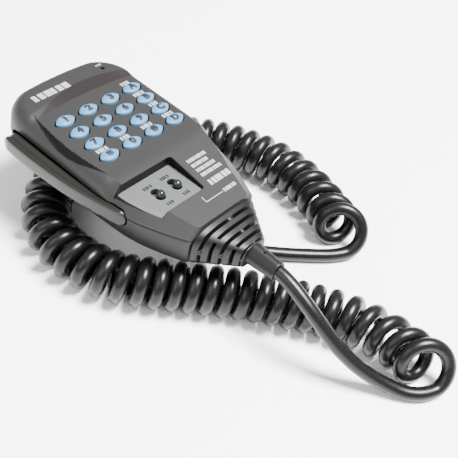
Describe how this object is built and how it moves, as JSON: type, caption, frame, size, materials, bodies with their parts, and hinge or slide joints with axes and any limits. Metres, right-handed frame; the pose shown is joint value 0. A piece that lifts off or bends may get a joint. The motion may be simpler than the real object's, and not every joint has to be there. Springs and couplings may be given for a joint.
{
  "type": "hand microphone",
  "caption": "Hand microphone with a tone key pad, side talk bar, slide switches, ribbed boot and a curly cord laid under the casing.",
  "frame": {"origin": "middle of the hang-up button's head, behind the rear cover", "axes": "+X across the face away from the talk bar, +Y towards the microphone end, +Z out of the face"},
  "size_m": [0.1256, 0.1893, 0.0484],
  "materials": {
    "cover_grey": "fine matte moulded texture",
    "cover_dark": "fine matte moulded texture",
    "lever_grey": "satin",
    "key_blue": "satin",
    "mat_rubber": "matt silicone",
    "plate_silver": "painted satin silver",
    "knob_black": "glossy",
    "boot_rubber": "matt",
    "cord_black": "soft gloss",
    "board_green": "solder mask",
    "part_black": "moulded",
    "steel": "plated",
    "led_white": "clear",
    "connector_white": "moulded",
    "wire_red": "insulation",
    "plug_clear": "clear moulded",
    "contact_gold": "plated"
  },
  "bodies": {
    "casing": {"front_cover": "cover_grey", "rear_cover": "cover_dark", "switch_plate": "plate_silver", "keypad_mat": "mat_rubber", "key_board": "board_green", "main_board": "board_green", "board_header": "part_black", "backlight_leds": "led_white", "tone_chip": "part_black", "crystal": "steel", "cord_connector": "connector_white", "lead_wires": "wire_red", "mic_capsule": "steel", "mic_gasket": "boot_rubber", "ptt_switch": "part_black", "ptt_pin": "steel", "ptt_spring": "steel", "lock_switch": "steel", "dtmf_switch": "steel", "up_switch": "part_black", "down_switch": "part_black", "case_screws": "steel", "board_screws": "steel", "hang_up_button": "steel", "hang_up_screw": "steel", "cable_boot": "boot_rubber", "boot_sleeve": "boot_rubber", "cord_clamp": "steel", "inner_cord": "cord_black", "cord_lead": "cord_black", "cord_coil": "cord_black", "cord_tail": "cord_black", "plug_body": "plug_clear", "plug_contacts": "contact_gold", "plug_boot": "cord_black"},
    "talk_bar": {"ptt_lever": "lever_grey"},
    "talk_plunger": {"ptt_plunger": "wire_red"},
    "key_1": {"key_1": "key_blue"},
    "key_2": {"key_2": "key_blue"},
    "key_3": {"key_3": "key_blue"},
    "key_a": {"key_a": "key_blue"},
    "key_4": {"key_4": "key_blue"},
    "key_5": {"key_5": "key_blue"},
    "key_6": {"key_6": "key_blue"},
    "key_b": {"key_b": "key_blue"},
    "key_7": {"key_7": "key_blue"},
    "key_8": {"key_8": "key_blue"},
    "key_9": {"key_9": "key_blue"},
    "key_c": {"key_c": "key_blue"},
    "key_star": {"key_star": "key_blue"},
    "key_0": {"key_0": "key_blue"},
    "key_hash": {"key_hash": "key_blue"},
    "key_d": {"key_d": "key_blue"},
    "lock_knob": {"lock_knob": "knob_black"},
    "dtmf_knob": {"dtmf_knob": "knob_black"},
    "up_button": {"up_button": "lever_grey"},
    "down_button": {"down_button": "lever_grey"},
    "latch": {"plug_latch": "plug_clear"}
  },
  "joints": [
    {"name": "ptt_press", "type": "hinge", "parent": "casing", "child": "talk_bar", "pos_m": [-0.0222, -0.018, 0.0193], "axis": [0, 0, -1], "range_deg": [0, 3.2], "stiffness_Nm_per_rad": 0.8, "springref_deg": -1.72},
    {"name": "ptt_plunger_slide", "type": "slide", "parent": "casing", "child": "talk_plunger", "axis": [1, 0, 0], "range_m": [0, 0.0012]},
    {"name": "key_1_press", "type": "slide", "parent": "casing", "child": "key_1", "axis": [0, 0, -1], "range_m": [0, 0.0009], "stiffness_N_per_m": 1200},
    {"name": "key_2_press", "type": "slide", "parent": "casing", "child": "key_2", "axis": [0, 0, -1], "range_m": [0, 0.0009], "stiffness_N_per_m": 1200},
    {"name": "key_3_press", "type": "slide", "parent": "casing", "child": "key_3", "axis": [0, 0, -1], "range_m": [0, 0.0009], "stiffness_N_per_m": 1200},
    {"name": "key_a_press", "type": "slide", "parent": "casing", "child": "key_a", "axis": [0, 0, -1], "range_m": [0, 0.0009], "stiffness_N_per_m": 1200},
    {"name": "key_4_press", "type": "slide", "parent": "casing", "child": "key_4", "axis": [0, 0, -1], "range_m": [0, 0.0009], "stiffness_N_per_m": 1200},
    {"name": "key_5_press", "type": "slide", "parent": "casing", "child": "key_5", "axis": [0, 0, -1], "range_m": [0, 0.0009], "stiffness_N_per_m": 1200},
    {"name": "key_6_press", "type": "slide", "parent": "casing", "child": "key_6", "axis": [0, 0, -1], "range_m": [0, 0.0009], "stiffness_N_per_m": 1200},
    {"name": "key_b_press", "type": "slide", "parent": "casing", "child": "key_b", "axis": [0, 0, -1], "range_m": [0, 0.0009], "stiffness_N_per_m": 1200},
    {"name": "key_7_press", "type": "slide", "parent": "casing", "child": "key_7", "axis": [0, 0, -1], "range_m": [0, 0.0009], "stiffness_N_per_m": 1200},
    {"name": "key_8_press", "type": "slide", "parent": "casing", "child": "key_8", "axis": [0, 0, -1], "range_m": [0, 0.0009], "stiffness_N_per_m": 1200},
    {"name": "key_9_press", "type": "slide", "parent": "casing", "child": "key_9", "axis": [0, 0, -1], "range_m": [0, 0.0009], "stiffness_N_per_m": 1200},
    {"name": "key_c_press", "type": "slide", "parent": "casing", "child": "key_c", "axis": [0, 0, -1], "range_m": [0, 0.0009], "stiffness_N_per_m": 1200},
    {"name": "key_star_press", "type": "slide", "parent": "casing", "child": "key_star", "axis": [0, 0, -1], "range_m": [0, 0.0009], "stiffness_N_per_m": 1200},
    {"name": "key_0_press", "type": "slide", "parent": "casing", "child": "key_0", "axis": [0, 0, -1], "range_m": [0, 0.0009], "stiffness_N_per_m": 1200},
    {"name": "key_hash_press", "type": "slide", "parent": "casing", "child": "key_hash", "axis": [0, 0, -1], "range_m": [0, 0.0009], "stiffness_N_per_m": 1200},
    {"name": "key_d_press", "type": "slide", "parent": "casing", "child": "key_d", "axis": [0, 0, -1], "range_m": [0, 0.0009], "stiffness_N_per_m": 1200},
    {"name": "lock_slide", "type": "slide", "parent": "casing", "child": "lock_knob", "axis": [0, 1, 0], "range_m": [0, 0.0022]},
    {"name": "dtmf_slide", "type": "slide", "parent": "casing", "child": "dtmf_knob", "axis": [0, 1, 0], "range_m": [0, 0.0022]},
    {"name": "up_press", "type": "slide", "parent": "casing", "child": "up_button", "axis": [0, -1, 0], "range_m": [0, 0.0008], "stiffness_N_per_m": 1500},
    {"name": "down_press", "type": "slide", "parent": "casing", "child": "down_button", "axis": [0, -1, 0], "range_m": [0, 0.0008], "stiffness_N_per_m": 1500},
    {"name": "latch_flex", "type": "hinge", "parent": "casing", "child": "latch", "pos_m": [0.019, 0.013, -0.0082], "axis": [1, 0, 0], "range_deg": [0, 6], "stiffness_Nm_per_rad": 0.05}
  ],
  "couplings": [
    {"joint": "ptt_plunger_slide", "follows": "ptt_press", "m_per_rad": 0.02}
  ]
}
